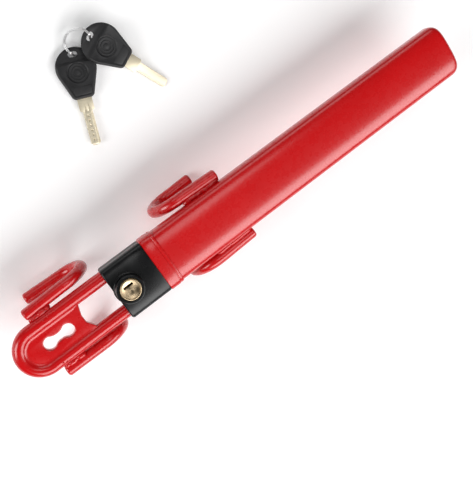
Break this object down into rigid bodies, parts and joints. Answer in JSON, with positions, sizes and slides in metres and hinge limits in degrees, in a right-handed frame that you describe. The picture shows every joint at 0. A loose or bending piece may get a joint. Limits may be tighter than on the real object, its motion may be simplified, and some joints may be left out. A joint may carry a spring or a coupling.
{
  "type": "steering wheel lock",
  "caption": "Telescoping steering wheel lock: red tube handle, twin sliding rods, four U hooks that hold the rim, cylinder lock, and keys on a ring.",
  "frame": {"origin": "on the key plug's axis, at the lock housing's flat back face", "axes": "+X along the handle to its closed end, +Z out of the keyway, +Y to the left when looking along +X with the keyway up"},
  "size_m": [0.5605, 0.2808, 0.0836],
  "materials": {
    "red_paint": "gloss red powder coat",
    "black_housing": "satin black coat on cast zinc",
    "rod_steel": "chromed steel bar, painted red at the head",
    "steel": "zinc plated",
    "brass": "turned brass",
    "chrome_ring": "nickel plated wire",
    "black_plastic": "fine moulded texture",
    "key_nickel": "nickel silver, milled"
  },
  "bodies": {
    "handle": {"handle_tube": "red_paint", "end_cap": "red_paint", "collar": "red_paint", "handle_hook_left": "red_paint", "handle_hook_right": "red_paint", "lock_housing": "black_housing", "housing_cover": "black_housing", "cover_screws": "steel", "housing_pins": "steel", "cylinder_shell": "brass", "driver_pins": "brass", "pin_springs": "steel", "bolt_spring": "steel"},
    "plug": {"lock_plug": "brass", "key_pins": "brass", "cam_disc": "steel", "cam_screw": "steel"},
    "bolt": {"lock_bolt": "steel", "bolt_pin": "steel"},
    "rods": {"twin_rod": "rod_steel", "head_plate": "red_paint", "head_hook_left": "red_paint", "head_hook_right": "red_paint", "rod_stop": "steel", "stop_screws": "steel"},
    "key_set": {"key_ring": "chrome_ring"},
    "key_a": {"key_a_bow": "black_plastic", "key_a_blade": "key_nickel"},
    "key_b": {"key_b_bow": "black_plastic", "key_b_blade": "key_nickel"}
  },
  "joints": [
    {"name": "rod_slide", "type": "slide", "parent": "handle", "child": "rods", "axis": [-1, 0, 0], "range_m": [0, 0.2]},
    {"name": "plug_turn", "type": "hinge", "parent": "handle", "child": "plug", "pos_m": [0, 0, 0.02], "axis": [0, 0, 1], "range_deg": [0, 90]},
    {"name": "bolt_slide", "type": "slide", "parent": "handle", "child": "bolt", "axis": [0, -1, 0], "range_m": [0, 0.003]},
    {"name": "keys_lift", "type": "slide", "parent": "handle", "child": "key_set", "axis": [0, 0, 1], "range_m": [0, 0.12]},
    {"name": "key_a_swing", "type": "hinge", "parent": "key_set", "child": "key_a", "pos_m": [0.09535, 0.21452, -0.04055], "axis": [0, 0, 1], "range_deg": [-12, 0]},
    {"name": "key_b_swing", "type": "hinge", "parent": "key_set", "child": "key_b", "pos_m": [0.11858, 0.21942, -0.0276], "axis": [0, 0, 1], "range_deg": [0, 12]}
  ],
  "couplings": [
    {"joint": "bolt_slide", "follows": "plug_turn", "m_per_rad": 0.0019099}
  ]
}
